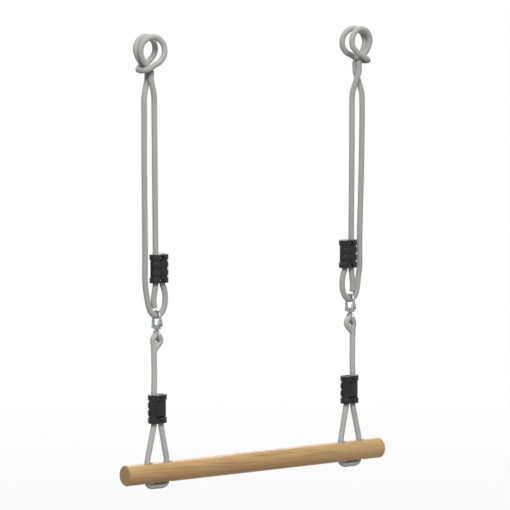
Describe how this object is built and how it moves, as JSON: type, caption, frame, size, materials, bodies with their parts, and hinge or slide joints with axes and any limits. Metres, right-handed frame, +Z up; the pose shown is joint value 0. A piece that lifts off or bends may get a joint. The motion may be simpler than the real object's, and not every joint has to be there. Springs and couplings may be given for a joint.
{
  "type": "trapeze bar",
  "caption": "Round wooden trapeze bar hung on two ropes, each with rope clamps and a swivel snap hook, hitched round a climbing frame's rungs.",
  "frame": {"origin": "midway between the two rung seats, on the axis height of the rungs that carry the hitches", "axes": "+X along the wooden bar, +Y from the front of the trapeze to its back, +Z up"},
  "size_m": [0.555, 0.043, 0.7848],
  "materials": {
    "wood": "satin lacquer",
    "rope": "braided",
    "clamp_plastic": "moulded",
    "hook_steel": "zinc plated",
    "gate_steel": "zinc plated",
    "screw_steel": "zinc plated"
  },
  "bodies": {
    "hitches": {"rung_hitch_left": "rope", "rung_hitch_right": "rope"},
    "slings": {"sling_inner_strand_left": "rope", "sling_outer_strand_left": "rope", "upper_clamp_left_ribbed_half": "clamp_plastic", "upper_clamp_left_plain_half": "clamp_plastic", "upper_clamp_left_screw_top": "screw_steel", "upper_clamp_left_screw_bottom": "screw_steel", "sling_inner_strand_right": "rope", "sling_outer_strand_right": "rope", "upper_clamp_right_ribbed_half": "clamp_plastic", "upper_clamp_right_plain_half": "clamp_plastic", "upper_clamp_right_screw_top": "screw_steel", "upper_clamp_right_screw_bottom": "screw_steel"},
    "swivel_eyes": {"swivel_eye_left": "hook_steel", "swivel_eye_right": "hook_steel"},
    "trapeze": {"trapeze_bar": "wood", "lower_rope_left": "rope", "lower_rope_right": "rope", "lower_clamp_left_ribbed_half": "clamp_plastic", "lower_clamp_left_plain_half": "clamp_plastic", "lower_clamp_left_screw_top": "screw_steel", "lower_clamp_left_screw_bottom": "screw_steel", "lower_clamp_right_ribbed_half": "clamp_plastic", "lower_clamp_right_plain_half": "clamp_plastic", "lower_clamp_right_screw_top": "screw_steel", "lower_clamp_right_screw_bottom": "screw_steel"},
    "hook_left": {"snap_hook_left": "hook_steel", "gate_rivet_left": "screw_steel"},
    "hook_right": {"snap_hook_right": "hook_steel", "gate_rivet_right": "screw_steel"},
    "gate_left": {"hook_gate_left": "gate_steel", "gate_spring_left": "screw_steel"},
    "gate_right": {"hook_gate_right": "gate_steel", "gate_spring_right": "screw_steel"}
  },
  "joints": [
    {"name": "swing", "type": "hinge", "parent": "hitches", "child": "slings", "pos_m": [0, 0, -0.05], "axis": [1, 0, 0], "range_deg": [-45, 45]},
    {"name": "hook_swing", "type": "hinge", "parent": "slings", "child": "swivel_eyes", "pos_m": [0, 0, -0.4575], "axis": [1, 0, 0], "range_deg": [-35, 35]},
    {"name": "bar_swing", "type": "hinge", "parent": "swivel_eyes", "child": "trapeze", "pos_m": [0, 0, -0.49075], "axis": [1, 0, 0], "range_deg": [-45, 45]},
    {"name": "hook_turn_left", "type": "hinge", "parent": "swivel_eyes", "child": "hook_left", "pos_m": [-0.21, 0, -0.477], "axis": [0, 0, 1], "range_deg": [-15, 15]},
    {"name": "hook_turn_right", "type": "hinge", "parent": "swivel_eyes", "child": "hook_right", "pos_m": [0.21, 0, -0.477], "axis": [0, 0, 1], "range_deg": [-15, 15]},
    {"name": "gate_left", "type": "hinge", "parent": "hook_left", "child": "gate_left", "pos_m": [-0.21, -0.0098, -0.473], "axis": [-1, 0, 0], "range_deg": [0, 35], "stiffness_Nm_per_rad": 0.01, "springref_deg": -28.65},
    {"name": "gate_right", "type": "hinge", "parent": "hook_right", "child": "gate_right", "pos_m": [0.21, -0.0098, -0.473], "axis": [-1, 0, 0], "range_deg": [0, 35], "stiffness_Nm_per_rad": 0.01, "springref_deg": -28.65}
  ]
}
